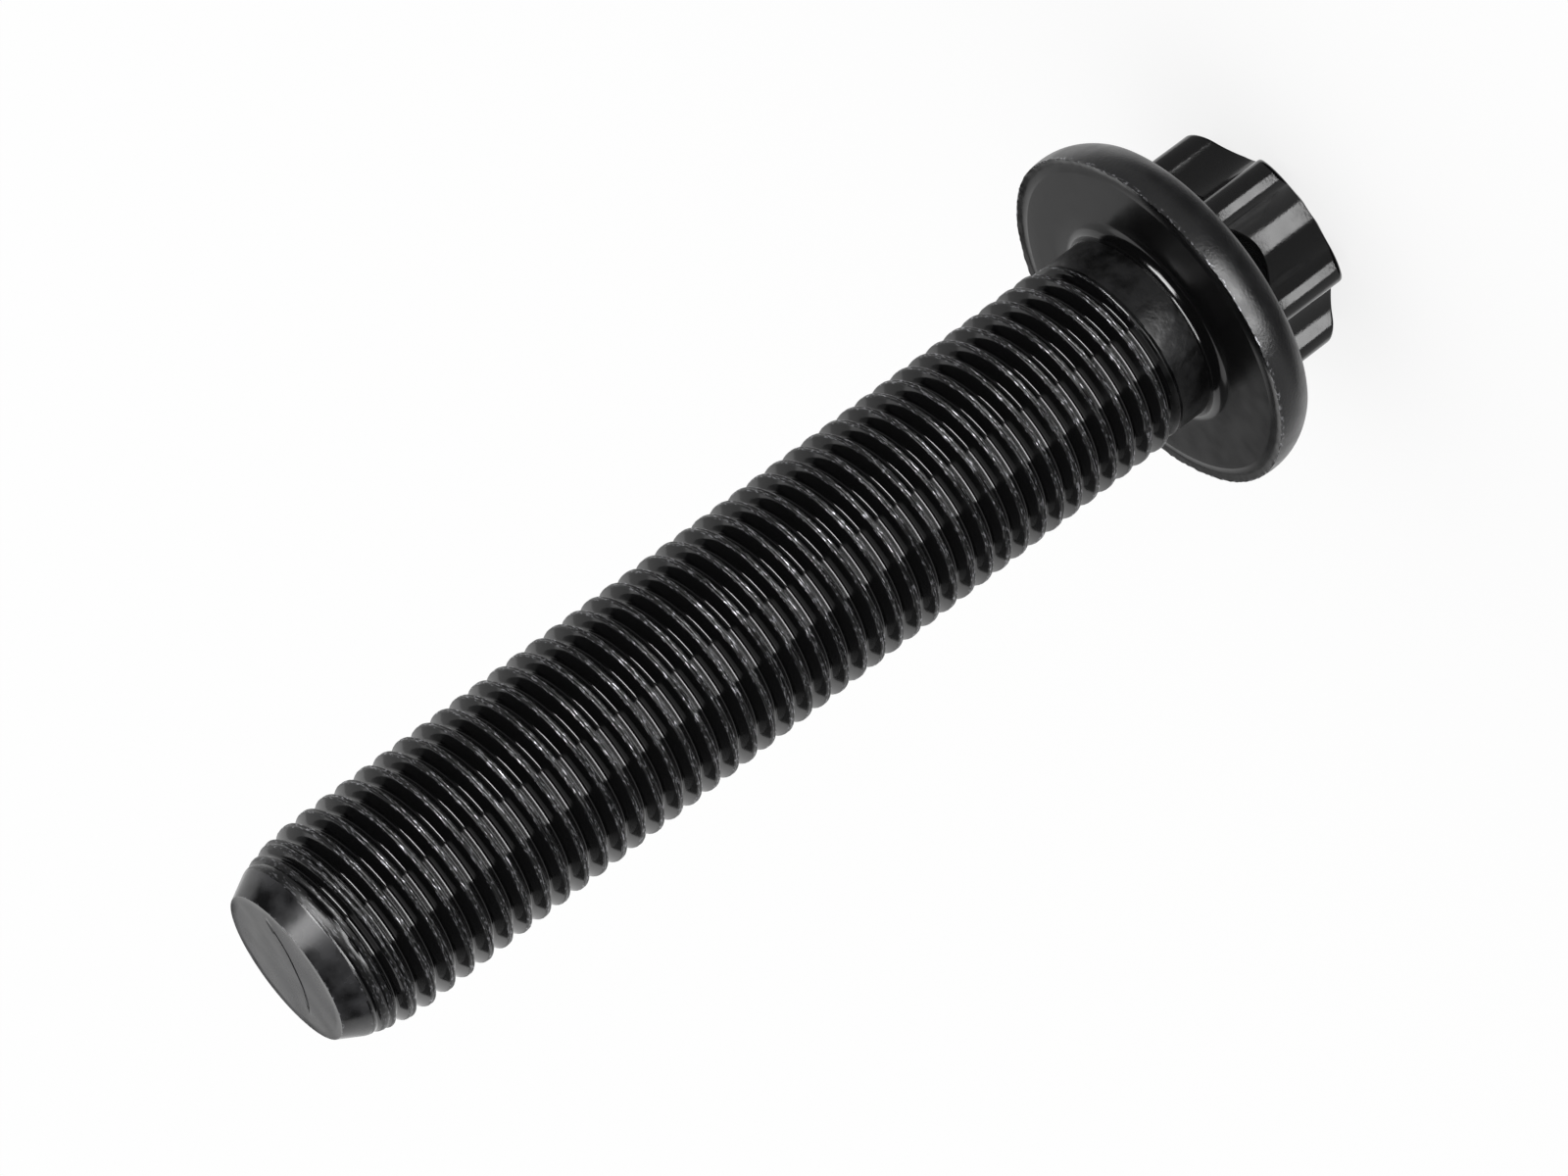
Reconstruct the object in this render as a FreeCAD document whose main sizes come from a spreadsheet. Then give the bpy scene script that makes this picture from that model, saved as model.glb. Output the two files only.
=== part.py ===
import FreeCAD, Part
import math
import os
import Sketcher

# A connecting rod bolt, forged and rolled from one bar.
# It stands on its head: the flat top of the head lies on z = 0 and the shank points up.
# From the floor up it has a lobed drive, a collar, a round flange, a neck and the threaded shank.
# The thread is fine, and the shank stands for it at the diameter of its crests.
# All sizes are in millimetres and degrees.

SIZES = [
    # The drive: rounded lobes with round flutes between them.
    ("lobe_count", 6),
    ("lobe_diameter", 16.06),
    ("lobe_nose_radius", 1.25),
    ("flute_radius", 2.9),
    ("head_height", 11.2),
    ("head_top_diameter", 11.2),
    ("head_chamfer_angle", 32.5),
    ("lobe_corner_radius", 0.6),
    # The flange, with a raised bearing face and a barrelled rim.
    ("flange_diameter", 24.56),
    ("flange_thickness", 2.95),
    ("rim_crown_depth", 0.7),
    ("rim_front_diameter", 24.4),
    ("rim_back_diameter", 23),
    ("bearing_diameter", 22.4),
    ("bearing_step", 0.15),
    # The back of the flange and the collar that runs out in the flutes.
    ("flange_back_angle", 20.7),
    ("collar_angle", 45),
    ("collar_top_diameter", 10.2),
    ("collar_depth", 6.95),
    ("collar_fillet", 1.5),
    # The shank.
    ("shank_length", 70.4),
    ("neck_diameter", 13.3),
    ("neck_length", 3.8),
    ("neck_fillet", 0.9),
    ("thread_diameter", 13.8),
    ("thread_shoulder_length", 0.8),
    ("lead_length", 6),
    ("lead_cone_length", 1.6),
    ("lead_cone_diameter", 12.2),
    ("tip_diameter", 10.46),
]


def make_sheet(doc):
    """The driving dimensions, one named cell each."""
    sheet = doc.addObject("Spreadsheet::Sheet", "Sizes")
    for row, (name, value) in enumerate(SIZES, start=1):
        sheet.set("A%d" % row, name)
        sheet.set("B%d" % row, str(value))
        sheet.setAlias("B%d" % row, name)
    doc.recompute()
    return sheet


def size(name):
    """The expression that reads one cell as a length."""
    return "Sizes.%s * 1 mm" % name


def half(name):
    """The expression for the radius of a diameter cell."""
    return "Sizes.%s / 2 * 1 mm" % name


def new_sketch(body, name, role):
    """A sketch on one of the body's own origin planes."""
    sketch = body.newObject("Sketcher::SketchObject", name)
    plane = [item for item in body.Origin.OriginFeatures if item.Role == role][0]
    sketch.AttachmentSupport = (plane, "")
    sketch.MapMode = "FlatFace"
    return sketch


def value_of(sketch, expression):
    """What an expression is worth now, as a plain number."""
    result = sketch.evalExpression(expression)
    return float(getattr(result, "Value", result))


def bind(sketch, kind, args, expression):
    """Add one dimension and tie it to the sheet."""
    worth = value_of(sketch, expression)
    index = sketch.addConstraint(Sketcher.Constraint(kind, *args, worth))
    sketch.setExpression("Constraints[%d]" % index, expression)


def place_point(sketch, geometry, end, across, up):
    """Hold a point of the sketch at its distance from the axis and its height."""
    origin = (-1, 1)
    bind(sketch, "DistanceX", (*origin, geometry, end), across)
    bind(sketch, "DistanceY", (*origin, geometry, end), up)


def lobed_sketch(body, lobes):
    """The section of the drive: a nose arc for each lobe and a flute arc after it."""
    sketch = new_sketch(body, "LobedSection", "XY_Plane")
    nose = value_of(sketch, size("lobe_nose_radius"))
    flute = value_of(sketch, size("flute_radius"))
    nose_centre = "(Sizes.lobe_diameter / 2 - Sizes.lobe_nose_radius)"
    reach = "(Sizes.lobe_nose_radius + Sizes.flute_radius)"
    half_step = "(180 deg / Sizes.lobe_count)"
    flute_centre = "(%s * cos(%s) + sqrt(%s^2 - (%s * sin(%s))^2))" % (
        nose_centre, half_step, reach, nose_centre, half_step)
    step = math.pi / lobes
    nose_out = value_of(sketch, nose_centre)
    flute_out = value_of(sketch, flute_centre)
    # The way from a nose centre to the next flute centre gives the point where the arcs meet.
    across = flute_out * math.cos(step) - nose_out
    up = flute_out * math.sin(step)
    lean = math.atan2(up, across)
    for index in range(lobes):
        turn = 2 * step * index
        centre = FreeCAD.Vector(nose_out * math.cos(turn), nose_out * math.sin(turn), 0)
        circle = Part.Circle(centre, FreeCAD.Vector(0, 0, 1), nose)
        sketch.addGeometry(Part.ArcOfCircle(circle, turn - lean, turn + lean), False)
        turn += step
        centre = FreeCAD.Vector(flute_out * math.cos(turn), flute_out * math.sin(turn), 0)
        circle = Part.Circle(centre, FreeCAD.Vector(0, 0, 1), flute)
        swing = lean - step
        sketch.addGeometry(Part.ArcOfCircle(circle, turn + math.pi - swing, turn + math.pi + swing), False)
    for index in range(lobes):
        nose_arc = 2 * index
        flute_arc = nose_arc + 1
        following = (nose_arc + 2) % (2 * lobes)
        turn = "(360 deg / Sizes.lobe_count * %d)" % index
        place_point(sketch, nose_arc, 3, "%s * cos(%s) * 1 mm" % (nose_centre, turn),
                    "%s * sin(%s) * 1 mm" % (nose_centre, turn))
        # Both arcs run against the clock, so they meet end to end on one side of the flute.
        sketch.addConstraint(Sketcher.Constraint("Tangent", nose_arc, 2, flute_arc, 2))
        sketch.addConstraint(Sketcher.Constraint("Tangent", flute_arc, 1, following, 1))
        if index > 0:
            sketch.addConstraint(Sketcher.Constraint("Equal", 0, nose_arc))
            sketch.addConstraint(Sketcher.Constraint("Equal", 1, flute_arc))
    bind(sketch, "Radius", (0,), size("lobe_nose_radius"))
    bind(sketch, "Radius", (1,), size("flute_radius"))
    return sketch


def chamfer_sketch(body):
    """The ring taken off round the head top, which leaves a flat disc and rounded lobe corners."""
    sketch = new_sketch(body, "TopChamferSection", "XZ_Plane")
    disc = "(Sizes.head_top_diameter / 2)"
    outside = "(Sizes.lobe_diameter / 2 + Sizes.lobe_corner_radius)"
    angle = "(Sizes.head_chamfer_angle * 1 deg)"
    corner = "Sizes.lobe_corner_radius"
    centre_across = "(Sizes.lobe_diameter / 2 - %s)" % corner
    centre_up = "((%s - %s) * tan(%s) + %s / cos(%s))" % (centre_across, disc, angle, corner, angle)
    corners = [
        (disc + " * 1 mm", "0 mm"),
        ("(%s + %s * sin(%s)) * 1 mm" % (centre_across, corner, angle),
         "(%s - %s * cos(%s)) * 1 mm" % (centre_up, corner, angle)),
        (half("lobe_diameter"), centre_up + " * 1 mm"),
        (outside + " * 1 mm", centre_up + " * 1 mm"),
        (outside + " * 1 mm", "0 mm"),
    ]
    draw_outline(sketch, corners, {1: centre_up + " * 1 mm"})
    return sketch


def draw_outline(sketch, corners, arcs):
    """A closed outline through corners held by expressions.

    arcs gives the height of the centre for each side that is an arc, by the side's number.
    """
    count = len(corners)
    places = [FreeCAD.Vector(value_of(sketch, a), value_of(sketch, b), 0) for a, b in corners]
    turned = []
    for index in range(count):
        start = places[index]
        finish = places[(index + 1) % count]
        if index in arcs:
            level = value_of(sketch, arcs[index])
            chord = finish - start
            middle = (start + finish) * 0.5
            centre_x = middle.x - (level - middle.y) * chord.y / chord.x
            centre = FreeCAD.Vector(centre_x, level, 0)
            radius = (start - centre).Length
            first = math.atan2(start.y - level, start.x - centre_x)
            last = math.atan2(finish.y - level, finish.x - centre_x)
            forward = (last - first) % (2 * math.pi) < math.pi
            ends = (first, last) if forward else (last, first)
            circle = Part.Circle(centre, FreeCAD.Vector(0, 0, 1), radius)
            sketch.addGeometry(Part.ArcOfCircle(circle, *ends), False)
            if not forward:
                turned.append(index)
        else:
            sketch.addGeometry(Part.LineSegment(start, finish), False)
    for index in range(count):
        following = (index + 1) % count
        end = 1 if index in turned else 2
        begin = 2 if following in turned else 1
        sketch.addConstraint(Sketcher.Constraint("Coincident", index, end, following, begin))
    for index, (across, up) in enumerate(corners):
        begin = 2 if index in turned else 1
        place_point(sketch, index, begin, across, up)
    for index, level in arcs.items():
        bind(sketch, "DistanceY", (-1, 1, index, 3), level)


def turned_sketch(body):
    """The outline of flange, collar and shank, from the axis out and back to the axis."""
    sketch = new_sketch(body, "TurnedSection", "XZ_Plane")
    bearing = "Sizes.head_height * 1 mm"
    ledge = "(Sizes.head_height - Sizes.bearing_step) * 1 mm"
    crown = "(Sizes.head_height - Sizes.rim_crown_depth) * 1 mm"
    back = "(Sizes.head_height - Sizes.flange_thickness) * 1 mm"
    collar_top = "(Sizes.head_height - Sizes.collar_depth) * 1 mm"
    neck_end = "(Sizes.head_height + Sizes.neck_length) * 1 mm"
    shoulder_end = "(Sizes.head_height + Sizes.neck_length + Sizes.thread_shoulder_length) * 1 mm"
    tip = "(Sizes.head_height + Sizes.shank_length) * 1 mm"
    lead_start = "(Sizes.head_height + Sizes.shank_length - Sizes.lead_length) * 1 mm"
    cone_start = "(Sizes.head_height + Sizes.shank_length - Sizes.lead_cone_length) * 1 mm"
    # The back of the flange and the collar cone meet where their two slopes cross.
    run = "(Sizes.rim_back_diameter - Sizes.collar_top_diameter) / 2"
    drop = "(Sizes.collar_depth - Sizes.flange_thickness)"
    slope_back = "tan(Sizes.flange_back_angle * 1 deg)"
    slope_collar = "tan(Sizes.collar_angle * 1 deg)"
    foot_run = "((%s - %s * %s) / (%s - %s))" % (drop, run, slope_back, slope_collar, slope_back)
    foot_across = "(Sizes.collar_top_diameter / 2 + %s)" % foot_run
    foot_up = "(Sizes.head_height - Sizes.collar_depth + %s * %s)" % (foot_run, slope_collar)
    # A fillet lies in that corner, and touches each slope this far from it.
    touch = "(Sizes.collar_fillet * tan((Sizes.collar_angle - Sizes.flange_back_angle) / 2 * 1 deg))"
    turn_collar = "(Sizes.collar_angle * 1 deg)"
    turn_back = "(Sizes.flange_back_angle * 1 deg)"
    fillet_end_up = "(%s + %s * sin(%s))" % (foot_up, touch, turn_back)
    fillet_centre = "(%s - Sizes.collar_fillet * cos(%s)) * 1 mm" % (fillet_end_up, turn_back)
    corners = [
        ("0 mm", collar_top),
        (half("collar_top_diameter"), collar_top),
        ("(%s - %s * cos(%s)) * 1 mm" % (foot_across, touch, turn_collar),
         "(%s - %s * sin(%s)) * 1 mm" % (foot_up, touch, turn_collar)),
        ("(%s + %s * cos(%s)) * 1 mm" % (foot_across, touch, turn_back), fillet_end_up + " * 1 mm"),
        (half("rim_back_diameter"), back),
        (half("flange_diameter"), crown),
        (half("rim_front_diameter"), ledge),
        ("(Sizes.bearing_diameter / 2 + Sizes.bearing_step) * 1 mm", ledge),
        (half("bearing_diameter"), bearing),
        ("(Sizes.neck_diameter / 2 + Sizes.neck_fillet) * 1 mm", bearing),
        (half("neck_diameter"), "(Sizes.head_height + Sizes.neck_fillet) * 1 mm"),
        (half("neck_diameter"), neck_end),
        (half("thread_diameter"), shoulder_end),
        (half("thread_diameter"), lead_start),
        (half("lead_cone_diameter"), cone_start),
        (half("tip_diameter"), tip),
        ("0 mm", tip),
    ]
    arcs = {
        2: fillet_centre,
        4: crown,
        5: crown,
        9: "(Sizes.head_height + Sizes.neck_fillet) * 1 mm",
        13: lead_start,
    }
    draw_outline(sketch, corners, arcs)
    return sketch


def revolve(body, kind, name, sketch):
    """A full turn of a sketch round the bolt's axis, added or cut."""
    feature = body.newObject("PartDesign::" + kind, name)
    feature.Profile = sketch
    feature.ReferenceAxis = (sketch, ["V_Axis"])
    feature.Angle = 360
    return feature


def make_bolt(doc, sheet):
    """The whole bolt as one body."""
    body = doc.addObject("PartDesign::Body", "ConnectingRodBolt")
    body.Label = "connecting_rod_bolt"

    drive = body.newObject("PartDesign::Pad", "Drive")
    section = lobed_sketch(body, int(sheet.lobe_count))
    drive.Profile = section
    drive.setExpression("Length", "(Sizes.head_height - Sizes.flange_thickness) * 1 mm")
    doc.recompute()

    revolve(body, "Groove", "TopChamfer", chamfer_sketch(body))
    doc.recompute()

    turned = revolve(body, "Revolution", "FlangeAndShank", turned_sketch(body))
    doc.recompute()

    body.Tip = turned
    doc.recompute()
    return body


def check(doc, parts):
    """Stop if any object has failed or any sub-part is not one sound solid."""
    for item in doc.Objects:
        bad = [word for word in item.State if word in ("Invalid", "Error")]
        if bad:
            raise RuntimeError("%s is %s" % (item.Name, bad))
    for part in parts:
        shape = part.Shape
        if shape.isNull() or not shape.isValid() or len(shape.Solids) != 1:
            raise RuntimeError("%s is not one sound solid" % part.Label)


def main():
    doc = FreeCAD.newDocument("ConnectingRodBolt")
    sheet = make_sheet(doc)
    parts = [make_bolt(doc, sheet)]
    check(doc, parts)
    os.makedirs("parts", exist_ok=True)
    for part in parts:
        part.Shape.exportStep("parts/%s.step" % part.Label)
        box = part.Shape.BoundBox
        print(part.Label, "size", [round(v, 3) for v in (box.XLength, box.YLength, box.ZLength)],
              "lowest", round(box.ZMin, 4), "volume", round(part.Shape.Volume, 1))


main()
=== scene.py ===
import math

import bpy
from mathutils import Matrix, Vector, noise


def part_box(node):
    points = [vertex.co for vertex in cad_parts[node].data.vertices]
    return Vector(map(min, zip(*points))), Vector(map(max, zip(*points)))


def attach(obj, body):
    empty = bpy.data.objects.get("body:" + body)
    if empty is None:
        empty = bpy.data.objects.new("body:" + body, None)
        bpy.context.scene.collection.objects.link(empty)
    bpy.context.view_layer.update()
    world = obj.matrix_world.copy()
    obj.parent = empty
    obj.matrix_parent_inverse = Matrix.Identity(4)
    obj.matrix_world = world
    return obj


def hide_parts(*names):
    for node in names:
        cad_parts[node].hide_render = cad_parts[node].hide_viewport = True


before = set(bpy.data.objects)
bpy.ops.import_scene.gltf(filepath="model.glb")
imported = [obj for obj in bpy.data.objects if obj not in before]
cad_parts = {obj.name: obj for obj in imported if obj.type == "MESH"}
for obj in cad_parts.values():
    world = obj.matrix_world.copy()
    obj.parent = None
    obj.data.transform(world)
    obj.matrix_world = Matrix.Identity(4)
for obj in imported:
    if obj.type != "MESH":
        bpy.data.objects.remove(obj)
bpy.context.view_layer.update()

# The bolt stands on its head, as in the frame: z runs from the head's flat top to the tip.
# Sizes are in millimetres and degrees, and MM turns them into metres.
MM = 0.001
NODE = "connecting_rod_bolt"
TIP_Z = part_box(NODE)[1].z / MM

# The drive: rounded lobes with round flutes between them.
LOBES = 6
LOBE_RADIUS = 8.03
NOSE_RADIUS = 1.25
FLUTE_RADIUS = 2.9
NOSE_STEPS = 30
FLUTE_STEPS = 18
DISC_RADIUS = 5.4
TOP_START_RADIUS = 5.2
TOP_CHAMFER_DEPTH = 1.32
FLUTE_BOTTOM_RADIUS = 5.366
TOP_RINGS = (2.6, 4.6)
EDGE_GAP = 0.1
KNEE_GAP = 0.35

# Roundings of the head's section. A pair is the radius in a flute and what a nose adds to it.
DISC_ROUND = (0.1, 0.2)
CHAMFER_ROUND = (0.08, 0.42)
COLLAR_ROUND = 0.35
FLANGE_ROUND = 0.6
SEAT_EDGE_ROUND = 0.12

# The collar and the back of the flange.
COLLAR_RADIUS = 5.1
COLLAR_Z = 4.25
COLLAR_FOOT_RADIUS = 7.64
FLANGE_BACK_ANGLE = 20.7

# The rim, the bearing face and the neck. The flash is the burr that the forging tools left on the rim.
RIM_BACK = (11.5, 8.25)
RIM_CROWN = (12.28, 10.5)
RIM_FRONT = (12.23, 11.12)
FLASH = ((12.22, 11.2), (12.12, 11.2), (11.95, 11.12), (11.6, 11.13), (11.35, 11.16))
BEARING_RADIUS = 11.2
BEARING_Z = 11.2
NECK_RADIUS = 6.65
NECK_FILLET = 0.9
NECK_CUT_Z = 13.6
SEAT_RINGS = (10.2, 8.6)
NECK_ROWS = 12

# How far the flash wavers outwards and upwards, and how finely.
FLASH_OUT = 0.025
FLASH_OUT_WAVES = 30
FLASH_UP = 0.035
FLASH_UP_WAVES = 42

# The thread.
PITCH = 1.5
CREST_RADIUS = 6.9
ROOT_RADIUS = 6.08
ROOT_ROUND = 0.22
FLANK_ANGLE = 30
GROOVE_Z = 0.79
TURN_STEPS = 72
SHOULDER_START_Z = 15.0
SHOULDER_END_Z = 15.8
RUN_OUT_TURN = 9.1
FULL_DEPTH_TURN = 9.5

# Half a pitch of the thread's section: how far from the groove's middle its corners lie.
HALF_STATIONS = (0.0, 0.075, 0.14, 0.19, 0.30, 0.42, 0.53, 0.575, 0.61, 0.66, 0.71, 0.75)

# The seam in the rolled crest, and the lips beside it. FLANK_COSINE belongs to FLANK_ANGLE.
FLANK_COSINE = 0.866
SEAM_DEPTH = 0.05
SEAM_GROWTH = 0.25
SEAM_PLAIN_WIDTH = 0.15
LIP_SHARE = 0.6
LIP_DROP = 0.02
NICK_DEPTH = 0.012

# The lead-in at the tip.
LEAD_LENGTH = 6.0
LEAD_ARC_RADIUS = 12.5
CONE_LENGTH = 1.6
CONE_RADIUS = 6.1
TIP_RADIUS = 5.23

# Corners closer than CLOSE are merged, and edges flatter than SMOOTH_ANGLE are shaded smooth.
CLOSE = 0.002
SMOOTH_ANGLE = 40


def edit(piece):
    """Opens one piece in edit mode with nothing selected."""
    bpy.ops.object.select_all(action="DESELECT")
    bpy.context.view_layer.objects.active = piece
    piece.select_set(True)
    bpy.ops.object.mode_set(mode="EDIT")
    bpy.ops.mesh.select_all(action="DESELECT")


def leave():
    bpy.ops.object.mode_set(mode="OBJECT")


def merge_doubles(piece):
    edit(piece)
    bpy.ops.mesh.select_all(action="SELECT")
    bpy.ops.mesh.remove_doubles(threshold=CLOSE * MM)
    leave()


def draw_profile(name, points):
    """A chain of edges over +X, drawn by extruding one corner from point to point.

    The points are pairs: distance from the axis and height.
    """
    bpy.ops.object.select_all(action="DESELECT")
    bpy.ops.mesh.primitive_plane_add(size=MM, location=(0, 0, 0))
    piece = bpy.context.object
    piece.name = name
    bpy.ops.object.mode_set(mode="EDIT")
    bpy.ops.mesh.select_all(action="SELECT")
    bpy.ops.mesh.merge(type="CENTER")
    start = Vector((points[0][0], 0, points[0][1])) * MM
    bpy.ops.transform.translate(value=start)
    for (r_from, z_from), (r_to, z_to) in zip(points, points[1:]):
        step = Vector((r_to - r_from, 0, z_to - z_from)) * MM
        bpy.ops.mesh.extrude_vertices_move(TRANSFORM_OT_translate={"value": step})
    leave()
    return piece


def arc(centre, start, finish, steps):
    """Points of an arc about a centre from start to finish, both ends included, the short way round."""
    first = math.atan2(start[1] - centre[1], start[0] - centre[0])
    last = math.atan2(finish[1] - centre[1], finish[0] - centre[0])
    swing = (last - first + math.pi) % (2 * math.pi) - math.pi
    radius = math.hypot(start[0] - centre[0], start[1] - centre[1])
    turns = [first + swing * i / steps for i in range(steps + 1)]
    return [(centre[0] + radius * math.cos(a), centre[1] + radius * math.sin(a)) for a in turns]


def rounded(before, corner, after, radius, steps):
    """The arc that rounds one corner of a chain."""
    a = (Vector(before) - Vector(corner)).normalized()
    b = (Vector(after) - Vector(corner)).normalized()
    half = math.acos(max(-1.0, min(1.0, a.dot(b)))) / 2
    touch = radius / math.tan(half)
    centre = Vector(corner) + (a + b).normalized() * radius / math.sin(half)
    return arc(centre, Vector(corner) + a * touch, Vector(corner) + b * touch, steps)


def ease(value, low, high):
    """0 below low, 1 above high and smooth between them."""
    t = max(0.0, min(1.0, (value - low) / (high - low)))
    return t * t * (3 - 2 * t)


def waver(angle, across, along, height=0.0, seed=0.0):
    """A seamless uneven value from about -1 to 1 at a place on a ring. across and along give its scale."""
    place = (across * math.cos(angle), across * math.sin(angle), along * height + seed)
    return noise.noise(Vector(place)) * 2


# The shank.

def lead_radius(z):
    """The outside of the shank, without its thread: shoulder, crests, rounded lead and cone."""
    from_tip = TIP_Z - z
    if from_tip < CONE_LENGTH:
        return TIP_RADIUS + (CONE_RADIUS - TIP_RADIUS) * from_tip / CONE_LENGTH
    if from_tip < LEAD_LENGTH:
        depth = LEAD_LENGTH - from_tip
        return CREST_RADIUS - LEAD_ARC_RADIUS + math.sqrt(LEAD_ARC_RADIUS ** 2 - depth ** 2)
    shoulder = ease(z, SHOULDER_START_Z, SHOULDER_END_Z)
    return NECK_RADIUS + (CREST_RADIUS - NECK_RADIUS) * shoulder


def groove_radius(offset):
    """The groove's wall at a distance along the axis from its middle: a round root, then a flank."""
    slope = 1 / math.tan(math.radians(FLANK_ANGLE))
    touch = ROOT_ROUND * math.cos(math.radians(FLANK_ANGLE))
    offset = abs(offset)
    if offset < touch:
        return ROOT_RADIUS + ROOT_ROUND - math.sqrt(ROOT_ROUND ** 2 - offset ** 2)
    return ROOT_RADIUS + ROOT_ROUND * (1 - math.sin(math.radians(FLANK_ANGLE))) + (offset - touch) * slope


def crest_dip(offset, outside, angle, z):
    """How far the rolled crest stays under the outside: an uneven seam between two rounded lips."""
    slope = 1 / math.tan(math.radians(FLANK_ANGLE))
    from_crest = PITCH / 2 - abs(offset)
    half_width = PITCH / 2 - ROOT_ROUND * FLANK_COSINE - (outside - ROOT_RADIUS - ROOT_ROUND / 2) / slope
    share = min(1.0, from_crest / max(half_width, 0.05))
    seam = SEAM_DEPTH + SEAM_GROWTH * max(0.0, half_width - SEAM_PLAIN_WIDTH)
    seam *= max(0.3, 1 + 0.5 * waver(angle, 4, 1.5, z))
    side = 1 if offset > 0 else -1
    nick = NICK_DEPTH * max(0.0, waver(angle, 9, 4, z, 7.0 * side))
    if share < LIP_SHARE:
        return nick + seam * (1 - share / LIP_SHARE) ** 1.5
    return nick + LIP_DROP * ((share - LIP_SHARE) / (1 - LIP_SHARE)) ** 2


def thread_radius(angle, z):
    """The radius of the shank's surface at an angle round the axis and a height."""
    turn = (z - GROOVE_Z) / PITCH - angle / (2 * math.pi)
    offset = (turn - round(turn)) * PITCH
    groove_turn = (z - offset - GROOVE_Z) / PITCH
    outside = lead_radius(z)
    full = ease(groove_turn, RUN_OUT_TURN, FULL_DEPTH_TURN)
    on_cone = TIP_Z - z < CONE_LENGTH
    crest = outside - (0 if on_cone else full * crest_dip(offset, outside, angle, z))
    return crest - full * max(0.0, crest - groove_radius(offset))


def make_shank():
    """The helical surface of the thread, pressed to its form between the neck and the tip."""
    offsets = [-v for v in reversed(HALF_STATIONS[1:])] + list(HALF_STATIONS)
    start_z = GROOVE_Z + PITCH * (math.floor((NECK_CUT_Z - GROOVE_Z) / PITCH) - 2)
    points = [(CREST_RADIUS, start_z + offset) for offset in offsets]
    turns = math.ceil((TIP_Z - start_z) / PITCH) + 1
    shank = draw_profile("bolt", points)
    screw = shank.modifiers.new("Helix", "SCREW")
    screw.axis = "Z"
    screw.angle = math.tau
    screw.screw_offset = PITCH * MM
    screw.iterations = turns
    screw.steps = TURN_STEPS
    screw.render_steps = TURN_STEPS
    screw.use_merge_vertices = False
    bpy.ops.object.modifier_apply(modifier=screw.name)
    merge_doubles(shank)
    for corner in shank.data.vertices:
        x, y, z = corner.co / MM
        angle = math.atan2(y, x)
        z = max(NECK_CUT_Z, min(TIP_Z, z))
        radius = thread_radius(angle, z)
        corner.co = Vector((radius * math.cos(angle), radius * math.sin(angle), z)) * MM
    merge_doubles(shank)
    return shank


# The tip's end face, as it was sheared from the bar, with a crease that the shearing left.

END_RINGS = (5.12, 4.6, 3.8, 3.0, 2.2, 1.4, 0.6, 0.0)
END_DEPTH = 0.6
END_DENT = 0.03
END_DENT_SCALE = 0.45
CREASE_CENTRE = (3.77, 5.38)
CREASE_RADIUS = 7.85
CREASE_WIDTH = 0.26
CREASE_TILT = 7
CREASE_DEEPEST = -123


def make_crease():
    """A thin ring that dips into the end face over a short stretch and leaves a crease there."""
    deepest = math.radians(CREASE_DEEPEST)
    tilt = math.radians(CREASE_TILT)
    lift = CREASE_RADIUS * math.tan(tilt)
    centre = Vector((*CREASE_CENTRE, TIP_Z + lift)) * MM
    bpy.ops.object.select_all(action="DESELECT")
    bpy.ops.mesh.primitive_torus_add(
        location=centre,
        major_segments=160,
        minor_segments=8,
        major_radius=CREASE_RADIUS * MM,
        minor_radius=CREASE_WIDTH / 2 * MM,
    )
    ring = bpy.context.object
    for corner in ring.data.vertices:
        along = corner.co.x * math.cos(deepest) + corner.co.y * math.sin(deepest)
        corner.co.z -= along * math.tan(tilt)
    return ring


def make_end():
    """A disc of rings, slightly uneven and lower than the tip's edge, with the crease cut into it."""
    points = [(0.0, TIP_Z - END_DEPTH), (TIP_RADIUS, TIP_Z - END_DEPTH), (TIP_RADIUS, TIP_Z)]
    points += [(radius, TIP_Z) for radius in END_RINGS]
    end = draw_profile("end", points)
    edit(end)
    bpy.ops.mesh.select_all(action="SELECT")
    bpy.ops.mesh.spin(steps=TURN_STEPS, angle=math.tau, center=(0, 0, 0), axis=(0, 0, 1))
    bpy.ops.mesh.select_all(action="SELECT")
    bpy.ops.mesh.remove_doubles(threshold=CLOSE * MM)
    bpy.ops.mesh.normals_make_consistent(inside=False)
    leave()
    crease = make_crease()
    cut = end.modifiers.new("Crease", "BOOLEAN")
    cut.operation = "DIFFERENCE"
    cut.solver = "EXACT"
    cut.object = crease
    bpy.ops.object.select_all(action="DESELECT")
    bpy.context.view_layer.objects.active = end
    bpy.ops.object.modifier_apply(modifier=cut.name)
    bpy.data.objects.remove(crease)
    edit(end)
    bpy.ops.mesh.select_mode(type="FACE")
    leave()
    for face in end.data.polygons:
        face.select = face.center.z < (TIP_Z - END_DEPTH / 2 + 0.05) * MM
    bpy.ops.object.mode_set(mode="EDIT")
    bpy.ops.mesh.delete(type="FACE")
    bpy.ops.mesh.select_mode(type="VERT")
    leave()
    for corner in end.data.vertices:
        x, y, z = corner.co / MM
        inwards = TIP_RADIUS - math.hypot(x, y)
        if inwards > 0.01:
            place = Vector((x * END_DENT_SCALE, y * END_DENT_SCALE, 3.0))
            dent = END_DENT + END_DENT * noise.noise(place)
            corner.co.z -= dent * MM
    return end


# The head.

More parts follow.
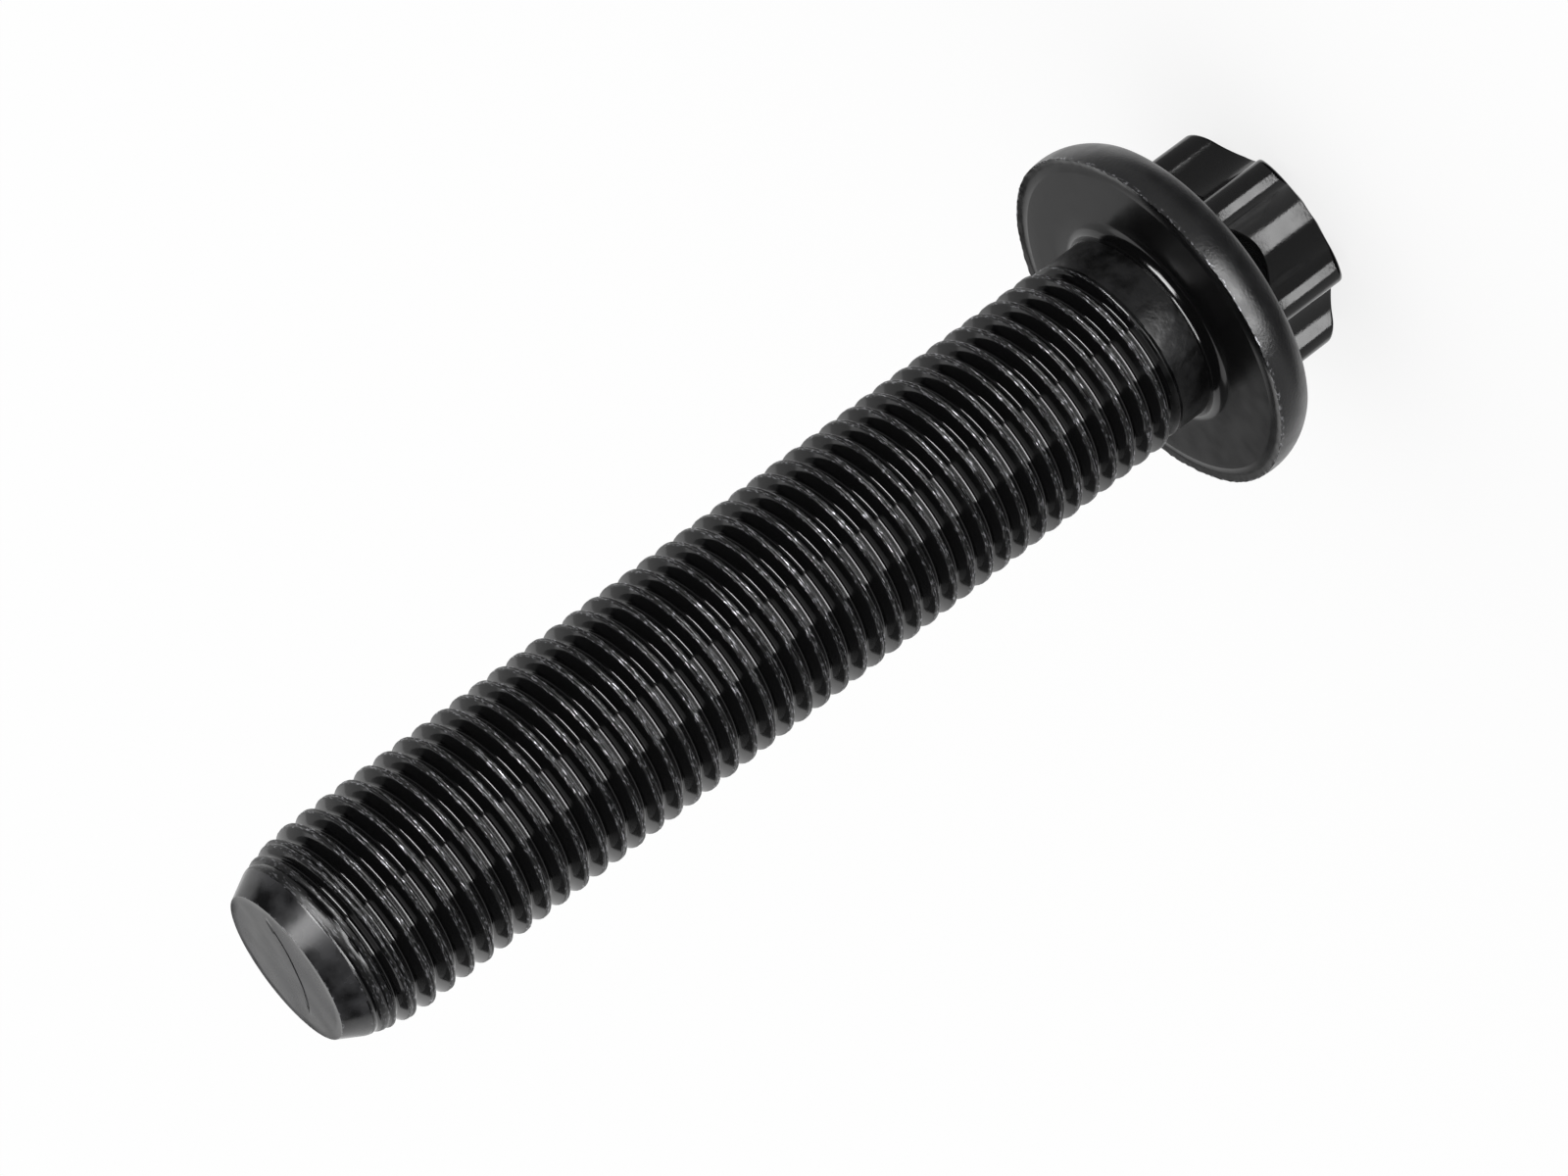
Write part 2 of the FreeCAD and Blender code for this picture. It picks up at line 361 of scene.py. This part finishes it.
def lobe_outline():
    """The drive's outline as pairs of angle and radius, once round from the middle of a nose's start."""
    nose_out = LOBE_RADIUS - NOSE_RADIUS
    reach = NOSE_RADIUS + FLUTE_RADIUS
    half_step = math.pi / LOBES
    aside = nose_out * math.sin(half_step)
    flute_out = nose_out * math.cos(half_step) + math.sqrt(reach ** 2 - aside ** 2)
    across = flute_out * math.cos(half_step) - nose_out
    lean = math.atan2(flute_out * math.sin(half_step), across)
    swing = lean - half_step
    outline = []
    for lobe in range(LOBES):
        turn = 2 * half_step * lobe
        for i in range(NOSE_STEPS):
            a = turn - lean + 2 * lean * i / NOSE_STEPS
            x = nose_out * math.cos(turn) + NOSE_RADIUS * math.cos(a)
            y = nose_out * math.sin(turn) + NOSE_RADIUS * math.sin(a)
            outline.append((math.atan2(y, x), math.hypot(x, y)))
        turn += half_step
        for i in range(FLUTE_STEPS):
            a = turn + math.pi + swing - 2 * swing * i / FLUTE_STEPS
            x = flute_out * math.cos(turn) + FLUTE_RADIUS * math.cos(a)
            y = flute_out * math.sin(turn) + FLUTE_RADIUS * math.sin(a)
            outline.append((math.atan2(y, x), math.hypot(x, y)))
    return outline


def collar_z(radius):
    """The height of the collar cone and the flange's back over a distance from the axis."""
    foot_z = COLLAR_Z + COLLAR_FOOT_RADIUS - COLLAR_RADIUS
    if radius < COLLAR_FOOT_RADIUS:
        return COLLAR_Z + radius - COLLAR_RADIUS
    return foot_z + (radius - COLLAR_FOOT_RADIUS) * math.tan(math.radians(FLANGE_BACK_ANGLE))


def top_z(radius):
    """The height of the drive's chamfered top over a distance from the axis."""
    share = max(0.0, (radius - TOP_START_RADIUS) / (LOBE_RADIUS - TOP_START_RADIUS))
    return TOP_CHAMFER_DEPTH * share


def crown_centre(point):
    """The centre of the rim's arc that passes through a point and runs straight up at the crown."""
    across = RIM_CROWN[0] - point[0]
    along = RIM_CROWN[1] - point[1]
    return (RIM_CROWN[0] - (across ** 2 + along ** 2) / (2 * across), RIM_CROWN[1])


def head_column(radius):
    """The head's section at one angle, from the middle of its top out to the neck."""
    depth = ease(radius, FLUTE_BOTTOM_RADIUS, LOBE_RADIUS)
    edge = (min(DISC_RADIUS, radius - EDGE_GAP), 0.0)
    corner = (radius, top_z(radius))
    foot = (radius, collar_z(radius))
    knee_radius = max(COLLAR_FOOT_RADIUS, radius + KNEE_GAP)
    knee = (knee_radius, collar_z(knee_radius))
    points = [(0.0, 0.0)] + [(ring, 0.0) for ring in TOP_RINGS]
    points += rounded(points[-1], edge, corner, DISC_ROUND[0] + DISC_ROUND[1] * depth, 2)
    points += rounded(edge, corner, foot, CHAMFER_ROUND[0] + CHAMFER_ROUND[1] * depth, 5)
    side_top = points[-1][1]
    foot_arc = rounded(corner, foot, knee, COLLAR_ROUND, 4)
    points += [(radius, side_top + (foot_arc[0][1] - side_top) * share) for share in (0.33, 0.67)]
    points += foot_arc
    knee_arc = rounded(foot, knee, RIM_BACK, FLANGE_ROUND, 3)
    points += knee_arc
    for share in (0.35, 0.7):
        r = knee_arc[-1][0] + (RIM_BACK[0] - knee_arc[-1][0]) * share
        points.append((r, collar_z(r)))
    points += arc(crown_centre(RIM_BACK), RIM_BACK, RIM_CROWN, 9)
    points += arc(crown_centre(RIM_FRONT), RIM_CROWN, RIM_FRONT, 4)[1:]
    points += FLASH
    points += rounded(FLASH[-1], (BEARING_RADIUS, BEARING_Z), (9, BEARING_Z), SEAT_EDGE_ROUND, 3)
    points += [(ring, BEARING_Z) for ring in SEAT_RINGS]
    fillet_centre = (NECK_RADIUS + NECK_FILLET, BEARING_Z + NECK_FILLET)
    points += arc(fillet_centre, (fillet_centre[0], BEARING_Z), (NECK_RADIUS, fillet_centre[1]), 9)
    points.append((NECK_RADIUS, NECK_CUT_Z))
    return points


def make_head():
    """A turned blank whose columns are pressed to the lobes and flutes of the drive."""
    outline = lobe_outline()
    blank = head_column(LOBE_RADIUS)
    head = draw_profile("head", blank)
    edit(head)
    bpy.ops.mesh.select_all(action="SELECT")
    bpy.ops.mesh.spin(steps=len(outline), angle=math.tau, center=(0, 0, 0), axis=(0, 0, 1))
    leave()
    columns = [(angle, head_column(radius)) for angle, radius in outline]
    places = [Vector(point) for point in blank]
    last_row = len(blank) - 1
    for corner in head.data.vertices:
        x, y, z = corner.co / MM
        even_angle = math.atan2(y, x)
        here = Vector((math.hypot(x, y), z))
        row = min(range(len(places)), key=lambda i: (places[i] - here).length)
        number = round(even_angle / math.tau * len(outline)) % len(outline)
        lobe_angle, points = columns[number]
        r, z = points[row]
        shift = (even_angle - lobe_angle + math.pi) % math.tau - math.pi
        angle = lobe_angle + shift * ease(r, LOBE_RADIUS + 0.4, RIM_BACK[0])
        if row >= last_row - NECK_ROWS:
            angle = even_angle
        if row == last_row:
            angle = round(even_angle / math.tau * TURN_STEPS) * math.tau / TURN_STEPS
        if FLASH[1][0] <= r <= RIM_FRONT[0] and z > RIM_FRONT[1] - 0.01:
            r += FLASH_OUT * waver(angle, FLASH_OUT_WAVES, 0)
            z += FLASH_UP * waver(angle, FLASH_UP_WAVES, 0, 0, 5.0)
        corner.co = Vector((r * math.cos(angle), r * math.sin(angle), z)) * MM
    merge_doubles(head)
    return head


def join_bolt(shank, end, head):
    """The three stretches become one closed mesh, merged where their rings meet."""
    bpy.ops.object.select_all(action="DESELECT")
    for part in (head, end, shank):
        part.select_set(True)
    bpy.context.view_layer.objects.active = shank
    bpy.ops.object.join()
    merge_doubles(shank)
    edit(shank)
    bpy.ops.mesh.select_all(action="SELECT")
    bpy.ops.mesh.normals_make_consistent(inside=False)
    leave()
    return shank


# Materials. A grey of this bolt holds a little more blue than red.

BLUE_SHARE = 1.06


def new_material(name, colour, roughness):
    """A material with its shader's constants set on the sockets. Returns it with its nodes."""
    material = bpy.data.materials.new(name)
    material.use_nodes = True
    nodes = material.node_tree.nodes
    shader = nodes["Principled BSDF"]
    shader.inputs["Base Color"].default_value = (*colour, 1)
    shader.inputs["Roughness"].default_value = roughness
    shader.inputs["IOR"].default_value = 1.5
    return material, nodes, material.node_tree.links, shader


def grain(nodes, links, size, stretch=(1, 1, 1), detail=3):
    """Noise on Object coordinates with grains of a size in mm. stretch shortens them along x, y and z."""
    place = nodes.new("ShaderNodeTexCoord")
    turn = nodes.new("ShaderNodeMapping")
    turn.inputs["Scale"].default_value = stretch
    field = nodes.new("ShaderNodeTexNoise")
    field.inputs["Scale"].default_value = 1 / (size * MM)
    field.inputs["Detail"].default_value = detail
    links.new(place.outputs["Object"], turn.inputs["Vector"])
    links.new(turn.outputs["Vector"], field.inputs["Vector"])
    return field.outputs["Fac"]


def height_above_head(nodes, links):
    """The height over the head's top in metres."""
    place = nodes.new("ShaderNodeTexCoord")
    split = nodes.new("ShaderNodeSeparateXYZ")
    links.new(place.outputs["Object"], split.inputs["Vector"])
    return split.outputs["Z"]


def worn_places(nodes):
    """The bolt's own attribute: 1 on the crests, the flash and the tip's edge, 0 elsewhere."""
    attribute = nodes.new("ShaderNodeAttribute")
    attribute.attribute_name = "worn"
    return attribute.outputs["Fac"]


def spread(nodes, links, source, low, high, first, last):
    """Turns a value between low and high into one between first and last, and holds it there beyond."""
    scale = nodes.new("ShaderNodeMapRange")
    scale.inputs["From Min"].default_value = low
    scale.inputs["From Max"].default_value = high
    scale.inputs["To Min"].default_value = first
    scale.inputs["To Max"].default_value = last
    links.new(source, scale.inputs["Value"])
    return scale.outputs["Result"]


def combine(nodes, links, operation, first, second):
    """One value from two by a plain operation, such as MULTIPLY or ADD."""
    sum_up = nodes.new("ShaderNodeMath")
    sum_up.operation = operation
    links.new(first, sum_up.inputs[0])
    links.new(second, sum_up.inputs[1])
    return sum_up.outputs["Value"]


def tint(nodes, links, factor, first, last):
    """A grey that goes from first to last with a value. Each may be a number or another grey."""
    mix = nodes.new("ShaderNodeMix")
    mix.data_type = "RGBA"
    links.new(factor, mix.inputs["Factor"])
    for name, shade in (("A", first), ("B", last)):
        socket = [item for item in mix.inputs if item.name == name and item.type == "RGBA"][0]
        if isinstance(shade, float):
            socket.default_value = (shade, shade, shade * BLUE_SHARE, 1)
        else:
            links.new(shade, socket)
    return [item for item in mix.outputs if item.type == "RGBA"][0]


def relief(nodes, links, shader, height, strength, distance):
    """Bump from a height, on top of what the mesh holds. distance is in mm."""
    bump = nodes.new("ShaderNodeBump")
    bump.inputs["Strength"].default_value = strength
    bump.inputs["Distance"].default_value = distance * MM
    links.new(height, bump.inputs["Height"])
    links.new(bump.outputs["Normal"], shader.inputs["Normal"])


def rolled_finish():
    """Glossy black in the grooves. The crests are dull and scratched, with specks of bare steel.

    The specks thin out towards the tip.
    """
    material, nodes, links, shader = new_material("rolled_thread", (0.004, 0.004, 0.0042), 0.1)
    worn = worn_places(nodes)
    height = height_above_head(nodes, links)
    rubbed = spread(nodes, links, height, (TIP_Z - LEAD_LENGTH) * MM, (TIP_Z - CONE_LENGTH) * MM, 1, 0.2)
    scratched = combine(nodes, links, "MULTIPLY", worn, rubbed)
    scratch = grain(nodes, links, 0.45, (1, 1, 6))
    bare = combine(nodes, links, "MULTIPLY", spread(nodes, links, scratch, 0.57, 0.63, 0, 1), scratched)
    dull = tint(nodes, links, worn, 0.004, 0.01)
    links.new(tint(nodes, links, bare, dull, 0.4), shader.inputs["Base Color"])
    links.new(spread(nodes, links, bare, 0, 1, 0, 0.9), shader.inputs["Metallic"])
    links.new(spread(nodes, links, worn, 0, 1, 0.1, 0.4), shader.inputs["Roughness"])
    relief(nodes, links, shader, combine(nodes, links, "MULTIPLY", scratch, scratched), 0.35, 0.02)
    return material


def fillet_finish():
    """The fillet between the bearing face and the neck, rolled to a deep gloss."""
    material, nodes, links, shader = new_material("rolled_fillet", (0.004, 0.004, 0.0042), 0.12)
    cloud = grain(nodes, links, 0.8)
    links.new(spread(nodes, links, cloud, 0.35, 0.65, 0.11, 0.16), shader.inputs["Roughness"])
    return material


def neck_finish():
    """Ground black, dull and mottled."""
    material, nodes, links, shader = new_material("ground_neck", (0.004, 0.004, 0.0042), 0.45)
    shader.inputs["Specular IOR Level"].default_value = 0.25
    cloud = grain(nodes, links, 1.5, detail=5)
    mottled = tint(nodes, links, spread(nodes, links, cloud, 0.42, 0.62, 0, 1), 0.003, 0.014)
    links.new(mottled, shader.inputs["Base Color"])
    links.new(spread(nodes, links, cloud, 0.35, 0.65, 0.3, 0.55), shader.inputs["Roughness"])
    relief(nodes, links, shader, cloud, 0.6, 0.15)
    return material


def seat_finish():
    """The bearing face, turned flat and glossy."""
    material, nodes, links, shader = new_material("turned_seat", (0.004, 0.004, 0.0042), 0.18)
    cloud = grain(nodes, links, 1.6)
    links.new(spread(nodes, links, cloud, 0.35, 0.65, 0.2, 0.27), shader.inputs["Roughness"])
    return material


def drive_finish():
    """The drive's forged lobes and flutes: smooth black with a fine grain."""
    material, nodes, links, shader = new_material("forged_drive", (0.005, 0.005, 0.0053), 0.16)
    fine = grain(nodes, links, 0.2, detail=4)
    cloud = grain(nodes, links, 1.2)
    links.new(spread(nodes, links, cloud, 0.35, 0.65, 0.12, 0.2), shader.inputs["Roughness"])
    relief(nodes, links, shader, fine, 0.5, 0.012)
    return material


def rim_finish():
    """The rim and the flange's back: satin, grainy, with bare specks on the flash."""
    material, nodes, links, shader = new_material("forged_rim", (0.02, 0.02, 0.021), 0.38)
    worn = worn_places(nodes)
    scratch = grain(nodes, links, 0.35, (1, 1, 2))
    bare = combine(nodes, links, "MULTIPLY", spread(nodes, links, scratch, 0.54, 0.64, 0, 1), worn)
    cloud = grain(nodes, links, 1.5)
    satin = tint(nodes, links, cloud, 0.01, 0.02)
    links.new(tint(nodes, links, bare, satin, 0.3), shader.inputs["Base Color"])
    links.new(spread(nodes, links, bare, 0, 1, 0, 0.7), shader.inputs["Metallic"])
    links.new(spread(nodes, links, cloud, 0.35, 0.65, 0.3, 0.38), shader.inputs["Roughness"])
    relief(nodes, links, shader, grain(nodes, links, 0.2, detail=4), 0.8, 0.02)
    return material


def tip_finish():
    """The end face and the cone: mottled grey black, satin, with a fine nicked edge."""
    material, nodes, links, shader = new_material("sheared_tip", (0.014, 0.014, 0.0146), 0.26)
    worn = worn_places(nodes)
    cloud = grain(nodes, links, 2.6, detail=4)
    fine = grain(nodes, links, 0.3)
    bare = combine(nodes, links, "MULTIPLY", spread(nodes, links, fine, 0.55, 0.65, 0, 1), worn)
    mottled = tint(nodes, links, spread(nodes, links, cloud, 0.38, 0.62, 0, 1), 0.008, 0.045)
    links.new(tint(nodes, links, bare, mottled, 0.2), shader.inputs["Base Color"])
    links.new(spread(nodes, links, cloud, 0.38, 0.62, 0.18, 0.3), shader.inputs["Roughness"])
    relief(nodes, links, shader, fine, 0.12, 0.015)
    return material


def mark_worn(piece):
    """Writes the worn attribute from each corner's place."""
    worn = piece.data.attributes.new("worn", "FLOAT", "POINT")
    for corner, wear in zip(piece.data.vertices, worn.data):
        x, y, z = corner.co / MM
        across = math.hypot(x, y)
        if z > TIP_Z - 0.02 and across > TIP_RADIUS - 0.05:
            wear.value = 1
        elif TIP_Z - CONE_LENGTH > z > SHOULDER_START_Z:
            wear.value = ease(across, lead_radius(z) - 0.09, lead_radius(z) - 0.03)
        elif z > RIM_FRONT[1] - 0.02 and RIM_FRONT[0] + 0.06 > across > FLASH[1][0] - 0.06:
            wear.value = 1
        else:
            wear.value = 0


THREAD, NECK, SEAT, DRIVE, RIM, TIP, FILLET = range(7)


def finish_number(place):
    """Which finish a face takes, in the order that paint() gives them."""
    x, y, z = place / MM
    across = math.hypot(x, y)
    if z > TIP_Z - CONE_LENGTH:
        return TIP
    if z > SHOULDER_START_Z:
        return THREAD
    if z > BEARING_Z + NECK_FILLET:
        return NECK
    if z > BEARING_Z + 0.01:
        return FILLET
    if z > FLASH[3][1] - 0.01 and across < FLASH[1][0]:
        return SEAT
    if z < COLLAR_Z + COLLAR_FOOT_RADIUS - COLLAR_RADIUS and across < LOBE_RADIUS + 0.3:
        return DRIVE
    return RIM


def paint(piece):
    """Gives each stretch of the bolt its finish."""
    finishes = (rolled_finish, neck_finish, seat_finish, drive_finish, rim_finish, tip_finish, fillet_finish)
    for finish in finishes:
        piece.data.materials.append(finish())
    for face in piece.data.polygons:
        face.material_index = finish_number(face.center)
    mark_worn(piece)


# The stage: camera, floor, and the dark cards and bright windows that a glossy black part reflects.

CAMERA_PLACE = (39.178, -357.869, 178.609)
CAMERA_TURN = (-57.6511, 48.3905, -148.4595)
CAMERA_LENS = 143.3
CAMERA_SHIFT = (-0.0002, 0.0002)


def make_camera():
    place = [v * MM for v in CAMERA_PLACE]
    turn = [math.radians(v) for v in CAMERA_TURN]
    bpy.ops.object.camera_add(location=place, rotation=turn)
    camera = bpy.context.object
    camera.name = "camera"
    camera.data.lens = CAMERA_LENS
    camera.data.sensor_width = 36
    camera.data.shift_x, camera.data.shift_y = CAMERA_SHIFT
    camera.data.clip_start = 0.01
    bpy.context.scene.camera = camera


def make_world():
    """A plain white surround at strength 1, under which a colour renders as it is written."""
    world = bpy.data.worlds.new("studio")
    bpy.context.scene.world = world
    world.use_nodes = True
    background = world.node_tree.nodes["Background"]
    background.inputs["Color"].default_value = (1, 1, 1, 1)
    background.inputs["Strength"].default_value = 1.0


def seen_mask(nodes, links):
    """1 for what the camera, a reflection or clear glass shows, 0 for light that falls on things."""
    path = nodes.new("ShaderNodeLightPath")
    first = nodes.new("ShaderNodeMath")
    first.operation = "MAXIMUM"
    second = nodes.new("ShaderNodeMath")
    second.operation = "MAXIMUM"
    links.new(path.outputs["Is Camera Ray"], first.inputs[0])
    links.new(path.outputs["Is Glossy Ray"], first.inputs[1])
    links.new(first.outputs["Value"], second.inputs[0])
    links.new(path.outputs["Is Transmission Ray"], second.inputs[1])
    return second.outputs["Value"]


FLOOR_COLOUR = (0.95, 0.95, 0.95, 1)
FLOOR_WHITE = 0.82
FLOOR_SIZE = 6


def make_floor():
    """A pale floor. It shows as white, keeps a soft shadow of the bolt, and is left out of reflections."""
    bpy.ops.mesh.primitive_plane_add(size=FLOOR_SIZE, location=(0, 0, 0))
    floor = bpy.context.object
    floor.name = "floor"
    material = bpy.data.materials.new("pale_floor")
    material.use_nodes = True
    nodes = material.node_tree.nodes
    links = material.node_tree.links
    shader = nodes["Principled BSDF"]
    shader.inputs["Base Color"].default_value = FLOOR_COLOUR
    shader.inputs["Roughness"].default_value = 1
    shader.inputs["Specular IOR Level"].default_value = 0
    white = nodes.new("ShaderNodeEmission")
    white.inputs["Strength"].default_value = 1.0
    level = nodes.new("ShaderNodeMath")
    level.operation = "MULTIPLY"
    level.inputs[1].default_value = FLOOR_WHITE
    blend = nodes.new("ShaderNodeMixShader")
    links.new(seen_mask(nodes, links), level.inputs[0])
    links.new(level.outputs["Value"], blend.inputs["Fac"])
    links.new(shader.outputs["BSDF"], blend.inputs[1])
    links.new(white.outputs["Emission"], blend.inputs[2])
    links.new(blend.outputs["Shader"], nodes["Material Output"].inputs["Surface"])
    floor.data.materials.append(material)
    floor.visible_glossy = False
    return floor


def flag_material():
    material = bpy.data.materials.new("dark_card")
    material.use_nodes = True
    shader = material.node_tree.nodes["Principled BSDF"]
    shader.inputs["Base Color"].default_value = (0.0, 0.0, 0.0, 1)
    shader.inputs["Specular IOR Level"].default_value = 0
    shader.inputs["Roughness"].default_value = 1
    return material


def glow_material(name, level):
    material = bpy.data.materials.new(name)
    material.use_nodes = True
    shader = material.node_tree.nodes["Principled BSDF"]
    shader.inputs["Base Color"].default_value = (0, 0, 0, 1)
    shader.inputs["Specular IOR Level"].default_value = 0
    shader.inputs["Emission Color"].default_value = (1, 1, 1, 1)
    shader.inputs["Emission Strength"].default_value = level
    return material


def only_in_reflections(thing):
    thing.visible_camera = False
    thing.visible_diffuse = False
    thing.visible_shadow = False
    thing.visible_transmission = False
    thing.visible_volume_scatter = False


FRONT = -83.8
SECTOR_STEPS = 24
CARD_RADIUS = 900
CARD_HOLE_RADIUS = 30
CARD_END_Z = 1200
WINDOW_RADIUS = 800
LOW_CARD_RADIUS = 850


def sector(name, radius_in, radius_out, z_in, z_out, first, last, material):
    """A curved card between two angles about the bolt, counted from the camera's side."""
    card = draw_profile(name, [(radius_in, z_in), (radius_out, z_out)])
    edit(card)
    bpy.ops.mesh.select_all(action="SELECT")
    bpy.ops.transform.rotate(value=-math.radians(FRONT - first), orient_axis="Z", center_override=(0, 0, 0))
    bpy.ops.mesh.select_all(action="SELECT")
    swing = math.radians(last - first)
    bpy.ops.mesh.spin(steps=SECTOR_STEPS, angle=swing, center=(0, 0, 0), axis=(0, 0, 1))
    leave()
    card.data.materials.append(material)
    only_in_reflections(card)
    return card


def make_cards():
    """Far cards all round, above and below the floor, because the floor doesn't show in reflections."""
    dark = flag_material()
    far, hole, end = CARD_RADIUS, CARD_HOLE_RADIUS, CARD_END_Z
    near, low = WINDOW_RADIUS, LOW_CARD_RADIUS
    sector("card_round", far, far, -end, end, -118, 118, dark)
    sector("card_top", far, hole, end, end, -118, 118, dark)
    sector("card_bottom", far, hole, -end, -end, -118, 118, dark)
    sector("card_back_left", far, far, 365, 760, -180, -118, glow_material("back_grey", 0.42))
    sector("card_back_right", far, far, 365, 760, 118, 180, glow_material("back_dim", 0.08))
    sector("card_back_low", far, far, 0, 365, 118, 242, glow_material("back_pale", 0.75))
    sector("window_left", near, near, 320, 520, -48, -6, glow_material("window_glow", 18))
    sector("window_left_top", near, near, 520, 760, -40, -8, glow_material("window_top_glow", 12))
    sector("window_right", near, near, -240, 10, -4, 48, glow_material("right_glow", 14))
    sector("window_right_low", near, near, -490, -240, -4, 48, glow_material("right_low_glow", 8))
    sector("card_left_low", low, low, -700, -60, -118, -4, glow_material("left_dim_glow", 0.3))
    sector("card_right_low", low, low, -700, -60, 48, 118, glow_material("right_dim_glow", 0.5))


bpy.context.scene.view_settings.view_transform = "Standard"
make_camera()
make_world()
make_floor()
make_cards()
bolt = join_bolt(make_shank(), make_end(), make_head())
paint(bolt)
bpy.ops.object.select_all(action="DESELECT")
bolt.select_set(True)
bpy.context.view_layer.objects.active = bolt
bpy.ops.object.shade_smooth_by_angle(angle=math.radians(SMOOTH_ANGLE))
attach(bolt, "root")
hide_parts(NODE)
